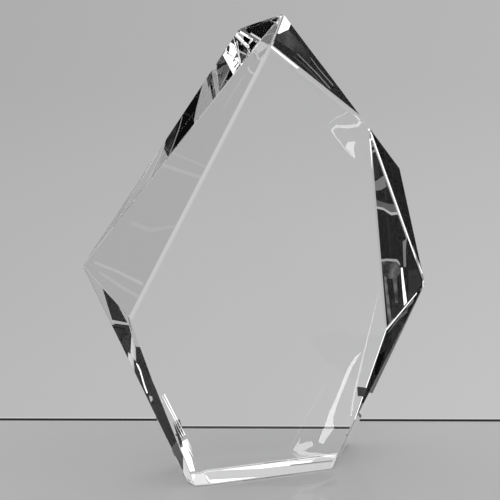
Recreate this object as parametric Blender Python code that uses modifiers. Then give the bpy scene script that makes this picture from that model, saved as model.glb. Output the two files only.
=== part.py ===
"""Faceted ice-peak award: one solid block of clear optical crystal that stands on its own ground base.

Frame: +Z up, -Y is the engraving face, +X is to the right of someone who faces it. The origin lies at the
middle of the block's width and depth, on the plane that the base rests on. Units are metres.

The block is made the way a crystal cutter makes it. A slab is sawn to size, its walls are sawn square to the
two large faces or a few degrees off square, and facets are then ground on the front until each one runs
through its three setting-out points. Every edge is eased by a small polished arris at the end.
"""

import bmesh
import bpy
from mathutils import Matrix, Vector
from mathutils.geometry import intersect_plane_plane, intersect_line_plane

MM = 0.001

# Overall sizes of the block
BLOCK_WIDTH = 193.9 * MM
BLOCK_DEPTH = 35.0 * MM
BLOCK_HEIGHT = 240.0 * MM

# Outline corners on the back face: X from the middle, Z from the base; a drop is measured down from the peak
PEAK_X = 14.0 * MM
LEFT_SHOULDER_X = -10.4 * MM
LEFT_SHOULDER_DROP = 6.0 * MM
LEFT_TIP_Z = 116.0 * MM
RIGHT_SHOULDER_X = 81.0 * MM
RIGHT_SHOULDER_Z = 151.5 * MM
RIGHT_TIP_Z = 85.6 * MM

# Corners of the flat front face, clockwise from its top
CROWN_X = -6.5 * MM
CROWN_DROP = 8.5 * MM
RIGHT_RUNOUT_X = 44.9 * MM
RIGHT_RUNOUT_Z = 188.6 * MM
RIGHT_NOTCH_Z = 184.5 * MM
RIGHT_WAIST_X = 59.1 * MM
RIGHT_WAIST_Z = 73.6 * MM
RIGHT_HEEL_X = 41.4 * MM
RIGHT_HEEL_Z = 25.0 * MM
BASE_RIGHT_X = 28.6 * MM
BASE_LEFT_X = -40.2 * MM
LEFT_KNEE_X = -70.1 * MM
LEFT_KNEE_Z = 58.1 * MM
LEFT_WAIST_X = -83.1 * MM
LEFT_WAIST_Z = 95.8 * MM

# Corners in the depth of the left wall; the depths are measured back from the front face, and the ridge root,
# where the left bevel meets the two top walls, takes its depth from the bevel
RIDGE_ROOT_X = -10.1 * MM
RIDGE_ROOT_DROP = 7.05 * MM
BASE_CORNER_X = -48.1 * MM
BASE_CORNER_DEPTH = 1.1 * MM
WALL_BREAK_X = -79.8 * MM
WALL_BREAK_Z = 73.3 * MM
WALL_BREAK_DEPTH = 23.3 * MM
BASE_BACK_LEFT_X = -45.0 * MM

# Edges eased by polishing, measured along each of the two faces that meet there
ARRIS = 0.4 * MM
FRONT_ARRIS = 0.9 * MM
BASE_ARRIS = 0.9 * MM
CROWN_ARRIS = 0.9 * MM
BEVEL_ARRIS = 1.3 * MM
RIGHT_BEVEL_ARRIS = 1.7 * MM
HEEL_ARRIS = 1.5 * MM
FLANK_ARRIS = 2.2 * MM
SHOULDER_ARRIS = 1.8 * MM
ARRIS_STEPS = 3

CRYSTAL_COLOUR = (0.93, 0.95, 0.95, 1.0)
CRYSTAL_ROUGHNESS = 0.0
CRYSTAL_METALLIC = 0.0
CRYSTAL_IOR = 1.52

FRONT_Y = -BLOCK_DEPTH / 2
BACK_Y = BLOCK_DEPTH / 2
DEPTH_AXIS = Vector((0.0, 1.0, 0.0))


def on_front(x, z, depth=0.0):
    """A setting-out point on the front face, or at a depth behind it."""
    return Vector((x, FRONT_Y + depth, z))


def on_back(x, z):
    return Vector((x, BACK_Y, z))


def plane_through(first, second, third):
    """The plane through three points, as a point on it and its normal."""
    return first, (second - first).cross(third - first).normalized()


def behind_front(x, z, plane):
    """The point of a plane that lies straight behind a point of the front face."""
    start = on_front(x, z)
    return intersect_line_plane(start, start + DEPTH_AXIS, *plane)


def meeting_point(plane_a, plane_b, plane_c):
    """The corner where three planes meet."""
    start, direction = intersect_plane_plane(*plane_a, *plane_b)
    return intersect_line_plane(start, start + direction, *plane_c)


def facet_planes():
    """Every sawn wall and ground facet of the block by name, each as a point on it and its normal."""
    front = (on_front(0.0, 0.0), DEPTH_AXIS)
    peak = on_back(PEAK_X, BLOCK_HEIGHT)
    left_shoulder = on_back(LEFT_SHOULDER_X, BLOCK_HEIGHT - LEFT_SHOULDER_DROP)
    left_tip = on_back(-BLOCK_WIDTH / 2, LEFT_TIP_Z)
    right_shoulder = on_back(RIGHT_SHOULDER_X, RIGHT_SHOULDER_Z)
    right_tip = on_back(BLOCK_WIDTH / 2, RIGHT_TIP_Z)
    crown = on_front(CROWN_X, BLOCK_HEIGHT - CROWN_DROP)
    runout = on_front(RIGHT_RUNOUT_X, RIGHT_RUNOUT_Z)
    right_waist = on_front(RIGHT_WAIST_X, RIGHT_WAIST_Z)
    right_heel = on_front(RIGHT_HEEL_X, RIGHT_HEEL_Z)
    base_right = on_front(BASE_RIGHT_X, 0.0)
    base_left = on_front(BASE_LEFT_X, 0.0)
    left_knee = on_front(LEFT_KNEE_X, LEFT_KNEE_Z)
    left_waist = on_front(LEFT_WAIST_X, LEFT_WAIST_Z)
    base_corner = on_front(BASE_CORNER_X, 0.0, BASE_CORNER_DEPTH)
    wall_break = on_front(WALL_BREAK_X, WALL_BREAK_Z, WALL_BREAK_DEPTH)

    left_bevel = plane_through(crown, left_waist, left_tip)
    ridge_root = behind_front(RIDGE_ROOT_X, BLOCK_HEIGHT - RIDGE_ROOT_DROP, left_bevel)

    planes = {"front": front, "left_bevel": left_bevel}
    planes["upper_left_wall"] = plane_through(left_tip, left_shoulder, ridge_root)
    planes["top_wall"] = plane_through(left_shoulder, peak, ridge_root)
    planes["upper_right_wall"] = plane_through(peak, right_shoulder, runout)
    planes["lower_right_wall"] = plane_through(right_tip, right_heel, base_right)
    planes["lower_left_wall"] = plane_through(left_tip, wall_break, on_back(BASE_BACK_LEFT_X, 0.0))
    planes["left_flank"] = plane_through(left_waist, left_knee, left_tip)
    planes["left_foot_flank"] = plane_through(left_knee, wall_break, base_corner)
    planes["left_foot_bevel"] = plane_through(left_knee, base_left, base_corner)

    planes["crown_facet"] = plane_through(ridge_root, peak, crown)
    planes["right_bevel"] = plane_through(crown, peak, runout)

    notch_level = (Vector((0.0, 0.0, RIGHT_NOTCH_Z)), Vector((0.0, 0.0, 1.0)))
    notch = meeting_point(front, planes["upper_right_wall"], notch_level)
    planes["right_flank"] = plane_through(notch, right_shoulder, right_tip)
    planes["right_inner_flank"] = plane_through(notch, right_waist, right_tip)
    planes["right_heel_bevel"] = plane_through(right_waist, right_tip, right_heel)
    return planes


def slab(mesh):
    """The sawn slab that the block is cut from; its top and sides are where the facets end."""
    size = Matrix.Diagonal((BLOCK_WIDTH, BLOCK_DEPTH, BLOCK_HEIGHT, 1.0))
    place = Matrix.Translation((0.0, 0.0, BLOCK_HEIGHT / 2))
    bmesh.ops.create_cube(mesh, size=1.0, matrix=place @ size)


def grind(mesh, facet_layer, number, plane):
    """Take everything outside one plane off the block and close the cut with a flat facet."""
    point, normal = plane
    core = Vector((0.0, 0.0, BLOCK_HEIGHT / 2))
    if (core - point).dot(normal) > 0.0:
        normal = -normal
    everything = mesh.verts[:] + mesh.edges[:] + mesh.faces[:]
    cut = bmesh.ops.bisect_plane(mesh, geom=everything, dist=1e-7, plane_co=point, plane_no=normal,
                                 clear_outer=True)
    rim = [piece for piece in cut["geom_cut"] if isinstance(piece, bmesh.types.BMEdge)]
    open_rim = [edge for edge in rim if edge.is_boundary]
    if open_rim:
        filled = bmesh.ops.contextual_create(mesh, geom=open_rim)
        for face in filled["faces"]:
            face[facet_layer] = number


def mark_arrises(mesh, facet_layer, names):
    """Give each edge the width of its arris, as a share of the widest one, and return that width."""
    widths = {frozenset(("front", "left_bevel")): BEVEL_ARRIS,
              frozenset(("front", "right_bevel")): RIGHT_BEVEL_ARRIS,
              frozenset(("right_inner_flank", "right_flank")): FLANK_ARRIS,
              frozenset(("crown_facet", "right_bevel")): CROWN_ARRIS,
              frozenset(("right_inner_flank", "right_heel_bevel")): HEEL_ARRIS,
              frozenset(("top_wall", "upper_left_wall")): SHOULDER_ARRIS}
    widest = max(widths.values())
    weight = mesh.edges.layers.float.new("bevel_weight_edge")
    for edge in mesh.edges:
        sides = frozenset(names[face[facet_layer]] for face in edge.link_faces)
        width = widths.get(sides, FRONT_ARRIS if "front" in sides else ARRIS)
        if all(abs(corner.co.z) < 1e-6 for corner in edge.verts):
            width = BASE_ARRIS
        edge[weight] = width / widest
    return widest


def crystal_material():
    material = bpy.data.materials.new("optical_crystal")
    material.use_nodes = True
    shader = material.node_tree.nodes["Principled BSDF"]
    shader.inputs["Base Color"].default_value = CRYSTAL_COLOUR
    shader.inputs["Roughness"].default_value = CRYSTAL_ROUGHNESS
    shader.inputs["Metallic"].default_value = CRYSTAL_METALLIC
    shader.inputs["IOR"].default_value = CRYSTAL_IOR
    shader.inputs["Transmission Weight"].default_value = 1.0
    return material


def crystal_block(collection):
    """The award itself: the slab, all its facets, then the arrises."""
    names = ["slab"]
    block = bmesh.new()
    facet_layer = block.faces.layers.int.new("facet")
    slab(block)
    for name, plane in facet_planes().items():
        names.append(name)
        if name == "front":
            continue
        grind(block, facet_layer, len(names) - 1, plane)
    for face in block.faces:
        if face.normal.y < -0.999:
            face[facet_layer] = names.index("front")
    bmesh.ops.recalc_face_normals(block, faces=block.faces[:])
    widest_arris = mark_arrises(block, facet_layer, names)

    mesh = bpy.data.meshes.new("crystal_block")
    block.to_mesh(mesh)
    block.free()
    mesh.materials.append(crystal_material())
    award = bpy.data.objects.new("crystal_block", mesh)
    collection.objects.link(award)

    arris = award.modifiers.new("arris", "BEVEL")
    arris.limit_method = "WEIGHT"
    arris.offset_type = "OFFSET"
    arris.width = widest_arris
    arris.segments = ARRIS_STEPS
    arris.use_clamp_overlap = True
    return award


def main():
    for existing in list(bpy.data.objects):
        bpy.data.objects.remove(existing, do_unlink=True)
    collection = bpy.data.collections.new("crystal_award")
    bpy.context.scene.collection.children.link(collection)
    crystal_block(collection)


main()
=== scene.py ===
"""Looks of the crystal award: its polished optical crystal, its glossy table and the studio round it.

The boards of the studio are placed for one view, the photograph's, and their shapes follow its reflections:
they show only in the crystal and its gloss, as painted reflections and painted shade, and light nothing.
"""

import math

import bpy
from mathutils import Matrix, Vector


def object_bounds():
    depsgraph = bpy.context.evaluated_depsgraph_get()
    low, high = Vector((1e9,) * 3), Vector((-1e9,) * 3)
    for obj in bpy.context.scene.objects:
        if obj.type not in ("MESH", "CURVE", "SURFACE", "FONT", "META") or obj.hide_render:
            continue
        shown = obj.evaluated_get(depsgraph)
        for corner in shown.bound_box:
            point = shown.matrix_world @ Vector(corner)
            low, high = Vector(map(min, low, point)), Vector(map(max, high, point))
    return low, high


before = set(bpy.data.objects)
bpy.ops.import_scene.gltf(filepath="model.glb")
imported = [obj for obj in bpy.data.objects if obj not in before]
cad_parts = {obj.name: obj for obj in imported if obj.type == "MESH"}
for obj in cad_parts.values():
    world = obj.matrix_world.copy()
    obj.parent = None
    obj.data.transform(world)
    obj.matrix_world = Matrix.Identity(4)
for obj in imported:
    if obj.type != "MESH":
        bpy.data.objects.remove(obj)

cad_low, cad_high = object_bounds()
scene = bpy.context.scene

CENTRE = Vector((0.0, 0.0, 0.12))
MM_PER_M = 1000
CRYSTAL_IOR = 1.52
TABLE_ALBEDO = 0.42

# the table, in metres: how far beyond the block it ends, its half width, its near end, and the width of the
# painted shade on its rim
TABLE_EDGE = 0.0757
TABLE_SIDE = 3
TABLE_NEAR = -6
RIM_SHADE_WIDTH = 0.004
SHADE_SHEET_HEIGHT = 0.0004
FACE_GAP = 0.002
BACK_GAP = 0.0012


def new_material(name):
    material = bpy.data.materials.new(name)
    material.use_nodes = True
    material.node_tree.nodes.clear()
    return material, material.node_tree.nodes, material.node_tree.links


def crystal_material():
    material, nodes, links = new_material("optical_crystal")
    out = nodes.new("ShaderNodeOutputMaterial")
    shader = nodes.new("ShaderNodeBsdfPrincipled")
    shader.inputs["Roughness"].default_value = 0.0
    shader.inputs["IOR"].default_value = CRYSTAL_IOR
    shader.inputs["Transmission Weight"].default_value = 1.0
    place = nodes.new("ShaderNodeTexCoord")

    # faint cloudiness of the melt, from water white to a trace of grey
    melt = nodes.new("ShaderNodeTexNoise")
    melt.inputs["Scale"].default_value = 22.0
    melt.inputs["Detail"].default_value = 2.0
    links.new(place.outputs["Object"], melt.inputs["Vector"])
    tint = nodes.new("ShaderNodeValToRGB")
    cloudy, clear = tint.color_ramp.elements
    cloudy.position, cloudy.color = 0.3, (0.978, 0.985, 0.983, 1)
    clear.position, clear.color = 0.7, (0.994, 0.996, 0.995, 1)
    links.new(melt.outputs["Fac"], tint.inputs["Fac"])
    links.new(tint.outputs["Color"], shader.inputs["Base Color"])

    # the slow swell that the polishing wheel leaves in each facet
    swell = nodes.new("ShaderNodeTexNoise")
    swell.inputs["Scale"].default_value = 16.0
    swell.inputs["Detail"].default_value = 1.0
    links.new(place.outputs["Object"], swell.inputs["Vector"])
    bump = nodes.new("ShaderNodeBump")
    bump.inputs["Strength"].default_value = 0.05
    bump.inputs["Distance"].default_value = 0.0001
    links.new(swell.outputs["Fac"], bump.inputs["Height"])
    links.new(bump.outputs["Normal"], shader.inputs["Normal"])
    links.new(shader.outputs["BSDF"], out.inputs["Surface"])
    return material


def table_material(name, albedo):
    material, nodes, links = new_material(name)
    out = nodes.new("ShaderNodeOutputMaterial")
    shader = nodes.new("ShaderNodeBsdfPrincipled")
    shader.inputs["Base Color"].default_value = (albedo, albedo, albedo, 1.0)
    shader.inputs["Roughness"].default_value = 0.02
    shader.inputs["IOR"].default_value = 1.5
    links.new(shader.outputs["BSDF"], out.inputs["Surface"])
    return material


def emitter(name, strength, mottle=0.0, grain=20.0):
    """A card that glows evenly, or with soft patches that go from dim to bright."""
    material, nodes, links = new_material(name)
    out = nodes.new("ShaderNodeOutputMaterial")
    glow = nodes.new("ShaderNodeEmission")
    glow.inputs["Color"].default_value = (1.0, 1.0, 1.0, 1.0)
    glow.inputs["Strength"].default_value = strength
    if mottle:
        place = nodes.new("ShaderNodeTexCoord")
        noise = nodes.new("ShaderNodeTexNoise")
        noise.inputs["Scale"].default_value = grain
        noise.inputs["Detail"].default_value = 3.0
        links.new(place.outputs["Object"], noise.inputs["Vector"])
        span = nodes.new("ShaderNodeMapRange")
        span.inputs["From Min"].default_value = 0.35
        span.inputs["From Max"].default_value = 0.65
        span.inputs["To Min"].default_value = strength * (1.0 - mottle)
        span.inputs["To Max"].default_value = strength * (1.0 + mottle)
        links.new(noise.outputs["Fac"], span.inputs["Value"])
        links.new(span.outputs["Result"], glow.inputs["Strength"])
    links.new(glow.outputs["Emission"], out.inputs["Surface"])
    return material


def one_sided(name, strength):
    """A card that glows on its front and isn't there from behind, so that the table doesn't mirror it."""
    material, nodes, links = new_material(name)
    out = nodes.new("ShaderNodeOutputMaterial")
    side = nodes.new("ShaderNodeNewGeometry")
    glowing = nodes.new("ShaderNodeEmission")
    glowing.inputs["Color"].default_value = (1.0, 1.0, 1.0, 1.0)
    glowing.inputs["Strength"].default_value = strength
    clear = nodes.new("ShaderNodeBsdfTransparent")
    pick = nodes.new("ShaderNodeMixShader")
    links.new(side.outputs["Backfacing"], pick.inputs["Fac"])
    links.new(glowing.outputs["Emission"], pick.inputs[1])
    links.new(clear.outputs["BSDF"], pick.inputs[2])
    links.new(pick.outputs["Shader"], out.inputs["Surface"])
    return material


def polygon(name, corners, material):
    mesh = bpy.data.meshes.new(name)
    mesh.from_pydata([tuple(c) for c in corners], [], [tuple(range(len(corners)))])
    mesh.materials.append(material)
    thing = bpy.data.objects.new(name, mesh)
    scene.collection.objects.link(thing)
    return thing


def heading(azimuth, elevation):
    a, e = math.radians(azimuth), math.radians(elevation)
    return Vector((math.sin(a) * math.cos(e), math.cos(a) * math.cos(e), math.sin(e)))


def facing(azimuth, elevation):
    """One heading out of the block, and the directions across and up a board that is square to it."""
    out = heading(azimuth, elevation)
    across = out.cross(Vector((0, 0, 1))).normalized()
    return out, across, across.cross(out)


GLOWS = {}


def glow(strength, mottle=0.0, grain=20.0):
    key = (strength, mottle, grain)
    if key not in GLOWS:
        GLOWS[key] = emitter("glow_%d" % len(GLOWS), strength, mottle, grain)
    return GLOWS[key]


def painted_reflection_card(name, azimuth, elevation, distance, shapes):
    """A board that hangs square to one heading out of the block, with shapes in millimetres across and up.

    Only the crystal sees it: it throws no light or shadow on the table. Its glowing and dark shapes are
    painted reflections and painted shade in the facets.
    """
    out, across, up = facing(azimuth, elevation)
    for number, (material, corners) in enumerate(shapes):
        spot = CENTRE + out * (distance - 0.001 * number)
        piece = polygon("%s_%d" % (name, number),
                        [spot + across * (u / MM_PER_M) + up * (v / MM_PER_M) for u, v in corners], material)
        only_in_crystal(piece)


def painted_shade_flag(name, spot, azimuth, elevation, distance, width, height, material):
    """A board square to one heading from a facet, seen only as that facet's surface reflection: painted shade
    there.
    """
    out, across, up = facing(azimuth, elevation)
    middle = Vector(spot) + out * distance
    corners = [middle + across * (u * width / 2) + up * (v * height / 2)
               for u, v in ((-1, -1), (1, -1), (1, 1), (-1, 1))]
    only_in_gloss(polygon(name, corners, material))


def close_painted_card(name, spot, azimuth, elevation, shapes):
    """A small board close to the block at a given spot, square to a heading, with shapes in millimetres:
    painted reflections and painted shade that only the crystal shows.
    """
    out, across, up = facing(azimuth, elevation)
    for number, (material, corners) in enumerate(shapes):
        place = Vector(spot) - out * (0.0005 * number)
        piece = polygon("%s_%d" % (name, number),
                        [place + across * (u / MM_PER_M) + up * (v / MM_PER_M) for u, v in corners], material)
        only_in_crystal(piece)


def painted_shade_sheet(name, corners, material):
    """A flat dark sheet just above the table, seen from above and only as a surface reflection: painted shade
    in the gloss.
    """
    only_in_gloss(polygon(name, [(x, y, SHADE_SHEET_HEIGHT) for x, y in corners], material))


def only_in_gloss(piece):
    show_only(piece, in_gloss=True)


def only_in_crystal(piece):
    show_only(piece, in_gloss=False)


def show_only(piece, in_gloss):
    """A board shows either as a surface reflection or through the crystal, and in no other way."""
    piece.visible_camera = False
    piece.visible_diffuse = False
    piece.visible_shadow = False
    piece.visible_glossy = in_gloss
    piece.visible_transmission = not in_gloss


def box(left, right, low, high):
    return [(left, low), (right, low), (right, high), (left, high)]


# the award
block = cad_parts["crystal_block"]
crystal = crystal_material()
for slot in block.material_slots:
    slot.material = crystal

# camera
AIM = Vector((-0.01787, -0.01750, 0.12540))
BACK = Vector((-0.54895, -1.40100, 0.54614)) - AIM
camera = bpy.data.objects.new("camera", bpy.data.cameras.new("camera"))
scene.collection.objects.link(camera)
camera.location = AIM + BACK
camera.rotation_mode = "QUATERNION"
camera.rotation_quaternion = (-BACK).to_track_quat("-Z", "Y")
camera.data.sensor_width = 36.0
camera.data.lens = 216.0
camera.data.clip_start = 0.05
camera.data.clip_end = 60.0
scene.camera = camera

# table: its far edge runs square to the camera's heading
along = Vector((0.9312, -0.3645, 0.0))
away = Vector((0.3645, 0.9312, 0.0))


def on_table(sideways, beyond, height):
    return along * sideways + away * beyond + Vector((0, 0, height))


def table_strip(name, far, near, height, material):
    return polygon(name, [on_table(TABLE_SIDE, far, height), on_table(-TABLE_SIDE, far, height),
                          on_table(-TABLE_SIDE, near, height), on_table(TABLE_SIDE, near, height)], material)


table_strip("table", TABLE_EDGE - RIM_SHADE_WIDTH, TABLE_NEAR, -0.0002, table_material("glossy_table", TABLE_ALBEDO))
# painted highlights: two pale glowing lines along the table's far edge; painted shade: a dim glowing strip on
# its rim
table_strip("table_far_painted_highlight", TABLE_EDGE + 0.0018, TABLE_EDGE, -0.0002, glow(0.62))
table_strip("table_near_painted_highlight", TABLE_EDGE - 0.0045, TABLE_EDGE - 0.0060, -0.0001, glow(0.50))
table_strip("table_rim_painted_shade", TABLE_EDGE, TABLE_EDGE - RIM_SHADE_WIDTH, -0.0002, glow(0.03))

# world: an even pale grey surround, lighter overhead and toward the right
world = bpy.data.worlds.new("studio")
scene.world = world
world.use_nodes = True
nodes, links = world.node_tree.nodes, world.node_tree.links
nodes.clear()
w_out = nodes.new("ShaderNodeOutputWorld")
w_bg = nodes.new("ShaderNodeBackground")
w_place = nodes.new("ShaderNodeTexCoord")
w_split = nodes.new("ShaderNodeSeparateXYZ")
w_ramp = nodes.new("ShaderNodeValToRGB")
links.new(w_place.outputs["Generated"], w_split.inputs["Vector"])
w_map = nodes.new("ShaderNodeMapRange")
w_map.inputs["From Min"].default_value = -1.0
w_map.inputs["From Max"].default_value = 1.0
links.new(w_split.outputs["Z"], w_map.inputs["Value"])
links.new(w_map.outputs["Result"], w_ramp.inputs["Fac"])
ramp = w_ramp.color_ramp
ramp.elements[0].position, ramp.elements[0].color = 0.25, (0.50, 0.50, 0.50, 1)
ramp.elements[1].position, ramp.elements[1].color = 0.75, (0.95, 0.95, 0.95, 1)
for spot, tone in ((0.325, 0.527), (0.345, 0.515), (0.367, 0.492), (0.39, 0.452), (0.44, 0.44),
                   (0.55, 0.55), (0.64, 0.8)):
    stop = ramp.elements.new(spot)
    stop.color = (tone, tone, tone, 1)
w_side = nodes.new("ShaderNodeVectorMath")
w_side.operation = "DOT_PRODUCT"
w_side.inputs[1].default_value = along
links.new(w_place.outputs["Generated"], w_side.inputs[0])
w_lean = nodes.new("ShaderNodeMapRange")
w_lean.inputs["From Min"].default_value = -0.2
w_lean.inputs["From Max"].default_value = 0.2
w_lean.inputs["To Min"].default_value = 0.87
w_lean.inputs["To Max"].default_value = 1.13
links.new(w_side.outputs["Value"], w_lean.inputs["Value"])
links.new(w_ramp.outputs["Color"], w_bg.inputs["Color"])
links.new(w_lean.outputs["Result"], w_bg.inputs["Strength"])
links.new(w_bg.outputs["Background"], w_out.inputs["Surface"])

# strengths of the boards, which make painted reflections and painted shade; the outlines of the shapes on
# them follow the reflections in the photograph
BLACK = glow(0.004)
DARK = glow(0.02)
DIM = glow(0.06)
GREY = glow(0.25)
PALE = glow(0.6)
WHITE = glow(1.6)
# strengths of the painted reflections on the clear face
PAINTED_REFLECTION_STRENGTH = {"curl": 6.0, "thread": 4.0, "wedge": 7.0, "blade": 7.5, "rod": 5.0, "arrow": 6.0, "corner": 3.0,
             "hair": 1.6}

# painted shade and painted reflections, seen in the wide right flank
painted_reflection_card("flank_card", -9.0, -19.0, 1.0, [
    (BLACK, box(38, 115, -80, 115)),
    (glow(0.028, 0.3, 40.0), [(44, 54), (58, 55), (58, 76), (50, 78)]),
    (glow(0.3), [(48, 83), (56, 85), (56, 83), (48, 81)]),
    (glow(0.3), [(48, 78), (58, 80), (58, 78), (48, 76)]),
    (glow(0.2), [(44, 51), (50, 51.5), (56, 53), (64, 56), (66, 46), (60, 44), (50, 44), (44, 44)]),
    (glow(0.12), [(44, 37), (51, 37), (58, 34), (66, 31), (74, 29), (80, 29), (80, 21), (69, 22), (60, 27),
                  (50, 30), (44, 30)]),
    (glow(0.5), [(44, 31.5), (50, 31.5), (60, 28.5), (69, 23), (80, 22), (80, 20), (69, 20.5), (60, 26.5),
                 (50, 29.5), (44, 29.5)]),
    (glow(0.09, 0.8, 120.0), [(53, -17), (74, -20), (75, -29), (70, -34), (60, -33), (52, -28)]),
    (glow(0.4), [(52, -15), (60, -15.5), (72, -18), (75, -22), (75, -24), (71, -20), (60, -17.5), (52, -17)]),
    (glow(0.1, 0.8, 120.0), [(65, -32), (70, -33), (69, -55), (66, -55)]),
    (glow(0.12, 0.8, 120.0), [(55, -30), (58, -31), (60, -70), (56, -70)]),
    (glow(0.22), [(80, -4), (85, -2), (83, -12), (82, -26), (79, -26)]),
    (WHITE, [(75.5, -26), (77.5, -26), (78.5, -40), (80, -60), (76, -60), (75.5, -45)]),
    (DARK, [(84, -30), (100, -30), (100, -60), (82, -60)]),
])

# painted shade, seen in the narrow right flank behind it
painted_reflection_card("edge_card", -22.7, -25.6, 1.0, [
    (BLACK, box(20, 140, -90, 150)),
])

# painted shade and painted reflections, seen in the heel bevel
painted_reflection_card("heel_card", -15.7, -3.7, 1.0, [
    (BLACK, box(30, 130, -130, 0)),
    (GREY, [(98, -26), (88, -31), (88, -33), (98, -29)]),
    (glow(0.15), [(90, -33), (76, -37), (64, -47), (64, -49), (78, -40), (90, -37)]),
])

# painted shade and painted reflections, seen in the right bevel
painted_reflection_card("bevel_card", -9.0, -50.0, 0.6, [
    (BLACK, box(-30, 90, 0, 130)),
    (glow(0.05, 0.8, 60.0), [(4.8, 89), (17, 91), (23.3, 82), (29.6, 70), (25, 64.5), (17.4, 70.7),
                             (10.8, 78), (0.7, 85)]),
    (WHITE, [(12, 112), (26, 106), (20.9, 95.2), (16.9, 91.7), (11, 90.5), (6.1, 89.4), (0, 91)]),
    (GREY, [(16.5, 73.6), (28.4, 58.2), (36, 45.8), (35.2, 45), (28, 56.8), (16.3, 72.6)]),
    (DIM, [(11.7, 72.4), (23.7, 59.2), (31.8, 46), (31, 45.2), (23.2, 58), (11.3, 71.6)]),
    (GREY, [(28.2, 69.6), (32.9, 59.7), (40.2, 47.6), (39.4, 47), (32.2, 59.1), (27.8, 68.8)]),
])

# painted shade and painted highlights, seen in the lower left flanks
painted_reflection_card("left_card", 134.0, 4.0, 1.5, [
    (glow(0.02, 0.6, 12.0), box(-260, 160, -330, 320)),
    (WHITE, [(-66, 44), (-70, 36), (-74, 20), (-77, 12), (-79, 13), (-76, 21), (-72, 37), (-68, 45)]),
    (PALE, [(-86, -5), (-83, -5), (-80, 10), (-84, 10)]),
    (glow(0.5), [(-91, -150), (-93, -193), (-98, -210), (-104, -228), (-40, -228), (-40, -150)]),
])

# painted reflection seen through the left bevel: a grey glowing board with a few paler streaks
painted_reflection_card("bevel_board", 60.5, -29.9, 1.0, [
    (glow(0.385), box(-150, 60, -150, 200)),
    (glow(0.43), [(-50, 45), (-34, 43), (-15, 40), (-15, 38.5), (-34, 41.5), (-50, 43)]),
    (glow(0.44), [(-54, 33), (-35, 32), (-15, 31), (-15, 28), (-35, 29), (-54, 30)]),
    (glow(0.42), [(-66, -22), (-48, -24), (-28, -15), (-28, -18), (-48, -28), (-66, -26)]),
    (glow(0.47), [(-87, -65), (-64, -67), (-40, -71), (-40, -74), (-64, -69.5), (-87, -67)]),
    (glow(0.44), [(-80, -72), (-59, -78), (-38, -83), (-38, -86), (-59, -81), (-80, -74)]),
    (glow(0.44), [(-4, 125), (-9, 109), (-15, 92), (-16, 92), (-10.2, 109), (-5.2, 125)]),
    (glow(0.55), [(-4, 131), (-1, 127), (4, 126), (4, 127.5), (0, 128.5), (-3, 132)]),
])

# painted highlights: bright boards that the rounded arrises pick up between the facets
painted_reflection_card("arris_flank", -16.0, -22.0, 1.0, [(WHITE, box(40, 100, -90, 90))])
painted_reflection_card("arris_heel", -12.5, -10.5, 1.0, [(WHITE, box(40, 110, -90, 0))])
painted_reflection_card("arris_front", 7.0, -17.0, 1.0, [(WHITE, box(20, 90, -90, 90))])

# painted shade: dark boards overhead and to the right, for the second bounce in the top wall and the upper
# left wall
painted_reflection_card("overhead_card", -125.0, 67.0, 0.8, [(BLACK, box(-150, 150, -150, 150))])
painted_reflection_card("side_card", 99.0, 9.0, 0.8, [(BLACK, box(-140, 60, -20, 160))])
# painted shade with a grey line, seen in the crown
close_painted_card("crown_card", (0.0564, -0.024, 0.046), -163.0, -52.0, [
    (glow(0.035), box(-15, 15, -15, 15)),
    (GREY, [(-15, -1), (15, 1), (15, 1.6), (-15, -0.4)]),
])

# painted reflections on the clear face: bright shapes just in front of it that only its gloss shows, in
# millimetres across and up, with outlines that follow the photograph
for name, corners in (
        ("curl", [(39.1, 195.5), (42.5, 192.6), (44.2, 189.8), (44.8, 187.1), (42.5, 184.7), (37, 184.3),
                  (30.8, 185.4), (28.6, 184.3), (30.3, 180.9), (35.4, 174.1), (40.5, 168.4), (39.9, 168.5),
                  (34.7, 174.2), (29.3, 181), (27.3, 184.6), (30.4, 186.8), (37, 186.1), (42, 186.6),
                  (42.9, 188), (42.4, 190),
                  (41, 192.4), (38.4, 195)]),
        ("thread", [(38, 194.8), (34.7, 192.4), (29.7, 190.7), (26.4, 187.8), (26.2, 187.3), (29.7, 190.1),
                    (34.7, 191.8), (38, 194.2)]),
        ("wedge", [(35.4, 174.7), (37, 177.2), (41.5, 177.3), (40.4, 175.3), (41, 168.3), (38.2, 171.2)]),
        ("blade", [(46.1, 63), (42.2, 60.2), (38.2, 54.5), (34.9, 47.2), (31.5, 38.7), (27.6, 30.8),
                   (23.1, 19.1), (21.4, 15.4), (24.3, 13.9), (30.5, 22.1), (29.9, 27.7), (32.7, 36.3),
                   (36.6, 45.3), (40.5, 54.3)]),
        ("rod", [(55.5, 95.6), (51.5, 79.5), (45.8, 58), (40.7, 36.4), (39.8, 27.6), (40.9, 27.6), (42, 36.4),
                 (46.8, 58), (52, 79.5)]),
        ("arrow", [(7.2, 12.7), (11.1, 18.9), (10.6, 15.2), (14.6, 16.4), (18, 16.6), (18.6, 13.5),
                   (12.9, 11.4), (31.8, 6.4), (31.8, 5.2), (12, 9)]),
        ("corner", [(6.6, 11.1), (12.9, 4.4), (18, 4.4), (21.5, 7)]),
        ("hair", [(5.3, 12.9), (10.9, 24.5), (25, 46.8), (25.4, 46.6), (11.3, 24.3), (5.8, 12.9)])):
    piece = polygon("reflection_" + name,
                    [(x / MM_PER_M, cad_low.y - FACE_GAP, z / MM_PER_M) for x, z in corners],
                    one_sided("painted_glint_" + name, PAINTED_REFLECTION_STRENGTH[name]))
    if piece.data.polygons[0].normal.y < 0:
        piece.data.flip_normals()
    only_in_gloss(piece)

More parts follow.
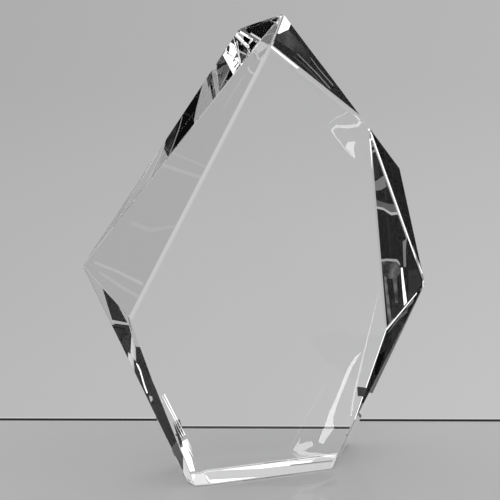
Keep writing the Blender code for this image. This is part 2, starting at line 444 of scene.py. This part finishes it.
# painted reflections seen in the base band: bright strips with thin dark gaps
painted_reflection_card("base_strips", 21.5, 20.0, 1.0, [
    (glow(0.62), box(-70, 70, -128, -100)),
    (WHITE, [(-70, -118), (-70, -112), (-15, -115), (11, -118), (30, -121), (30, -122), (-15, -119)]),
    (GREY, [(11, -118.5), (24, -120), (48, -122.5), (48, -121.5), (24, -118.8), (11, -117.4)]),
    (PALE, [(-70, -106.5), (0, -110), (48, -113), (48, -112), (0, -109), (-70, -105.5)]),
    (WHITE, [(-70, -104), (-10, -108), (-10, -106), (-70, -101)]),
])
# painted highlights and painted shade in the foot facet: glowing shapes just behind the block that only the
# crystal shows
for name, material, corners in (
        ("white", WHITE, [(-47, 1), (-38.3, 1), (-40.3, 9), (-44.8, 19), (-47, 14)]),
        ("dark", DARK, [(-50.5, 30), (-48.8, 30), (-44.6, 15), (-46.2, 15)]),
        ("edge", WHITE, [(-57.5, 45), (-56.9, 45), (-45.6, 21), (-46.1, 21)])):
    spots = [(x / MM_PER_M, cad_high.y + BACK_GAP, z / MM_PER_M) for x, z in corners]
    only_in_crystal(polygon("foot_" + name, spots, material))

# painted shade seen in the upper left wall: a dark sheet that lies low and to the right; and a painted
# highlight, a bright board beside the block
for name, height, material, corners in (
        ("shade_patch", 0.0006, BLACK, [(118.7, -56), (144.5, -64), (146, -68), (152, -75), (158, -81), (163, -86),
                                (167, -92), (150, -104), (118.7, -80)]),
        ("shade_patch_grey", 0.0008, glow(0.03, 0.6, 90.0), [(118.7, -60), (134, -75), (145, -84), (135, -90),
                                                     (119.5, -80)]),
        ("shade_patch_line", 0.0010, GREY, [(139.8, -77.4), (134.8, -72), (124.8, -64), (119.4, -60.1),
                                (118.8, -60.9), (124.2, -64.8), (134.2, -72.8), (139.4, -78)])):
    spots = [(x / MM_PER_M, y / MM_PER_M, height) for x, y in corners]
    only_in_crystal(polygon("upper_" + name, spots, material))
close_painted_card("block_card", (0.080, -0.0047, 0.1298), 147.0, -58.5, [
    (WHITE, [(4.6, 4.8), (2.6, 7.2), (-11.8, -2.8), (-10, -5.7)]),
    (DARK, [(2.0, 4.6), (0.4, 3.5), (-0.8, 4.3), (0.6, 5.2)]),
    (GREY, [(-5.5, -0.2), (-6.6, -1.0), (-8.8, 0.2), (-7.6, 0.9)]),
    (DARK, [(-8.4, -3.0), (-9.2, -3.6), (-10.6, -2.6), (-9.8, -2.0)]),
])

# painted shade in the surface reflections: dark sheets and boards beside the block, out of the camera's sight
SHADE = one_sided("shade", 0.0)
painted_shade_sheet("painted_shade_right", [(0.10, 0.02), (1.6, 0.02), (1.6, 1.30), (0.30, 0.34), (0.10, 0.12)], SHADE)
painted_shade_sheet("painted_shade_left", [(-0.04, 0.03), (-0.10, 0.26), (-0.32, 0.26), (-0.24, 0.05), (-0.07, 0.02)], SHADE)
painted_shade_flag("flag_bevel", (0.035, 0.0, 0.20), 59.4, 17.1, 0.5, 0.20, 0.20, BLACK)
painted_shade_flag("flag_wall", (-0.05, 0.0, 0.18), -22.1, 14.3, 0.5, 0.24, 0.20, BLACK)
painted_shade_flag("flag_top", (0.0, 0.0, 0.237), 11.2, 23.7, 0.4, 0.10, 0.06, BLACK)
painted_shade_flag("flag_crown", (0.0, 0.0, 0.235), 34.4, 40.5, 0.4, 0.08, 0.08, BLACK)

# painted shade and painted highlights seen through the base: a dark board under it and bright ones with dark
# gaps
BASE_HALF_DEPTH, BASE_DROP = 0.0172, -0.0001
for name, left, right, material in (
        ("base_dark", -0.050, 0.010, BLACK),
        ("base_light_1", 0.010, 0.016, WHITE),
        ("base_gap_1", 0.016, 0.018, DARK),
        ("base_light_2", 0.018, 0.024, WHITE),
        ("base_gap_2", 0.024, 0.0265, DARK),
        ("base_light_3", 0.0265, 0.034, WHITE),
        ("base_gap_3", 0.034, 0.0365, DARK),
        ("base_light_4", 0.0365, 0.045, WHITE)):
    corners = box(left, right, -BASE_HALF_DEPTH, BASE_HALF_DEPTH)
    only_in_crystal(polygon(name, [(x, y, BASE_DROP) for x, y in corners], material))

scene.view_settings.view_transform = "Standard"
scene.cycles.max_bounces = 24
scene.cycles.transmission_bounces = 24
scene.cycles.glossy_bounces = 12
